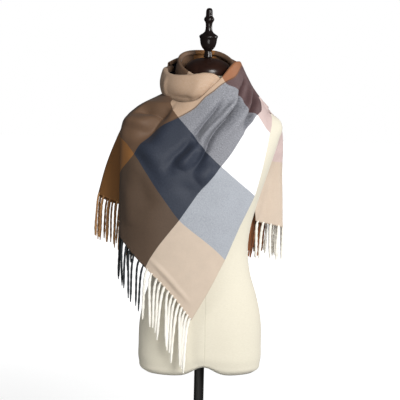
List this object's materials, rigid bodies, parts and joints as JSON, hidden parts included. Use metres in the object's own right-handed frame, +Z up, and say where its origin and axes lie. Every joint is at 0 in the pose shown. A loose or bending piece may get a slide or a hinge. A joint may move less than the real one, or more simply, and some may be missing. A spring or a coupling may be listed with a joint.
{
  "type": "blanket scarf on a dress form",
  "caption": "Wide checked blanket scarf with fringed short ends, wound round the neck and shoulders of a limbless dress form on a post and round base.",
  "frame": {"origin": "on the floor, in the middle of the stand's round base, under the post", "axes": "+Z up the post to the finial, -Y the way the form faces, +X the side where the scarf goes up over the shoulder and its second end hangs"},
  "size_m": [0.4721, 0.3102, 1.3558],
  "materials": {
    "linen": "cream linen stretched over a padded body",
    "wood": "dark turned wood, polished",
    "steel": "satin black",
    "check_cloth": "brushed twill in large checks of white, charcoal, camel and rust",
    "beige_cloth": "the same cloth where its beige checks show",
    "white_yarn": "twisted brushed yarn",
    "charcoal_yarn": "twisted brushed yarn",
    "camel_yarn": "twisted brushed yarn",
    "rust_yarn": "twisted brushed yarn"
  },
  "bodies": {
    "root": {"form_body": "linen", "neck_cap": "wood", "finial": "wood", "stand_post": "steel", "stand_base": "steel", "scarf_front": "check_cloth", "scarf_back": "check_cloth", "scarf_neck": "beige_cloth", "scarf_tail": "beige_cloth", "scarf_tail_inner": "check_cloth", "fringe_white": "white_yarn", "fringe_charcoal": "charcoal_yarn", "fringe_camel": "camel_yarn", "fringe_rust": "rust_yarn", "tail_fringe_white": "white_yarn", "tail_fringe_charcoal": "charcoal_yarn", "tail_fringe_rust": "rust_yarn", "tail_fringe_camel": "camel_yarn"}
  },
  "joints": []
}
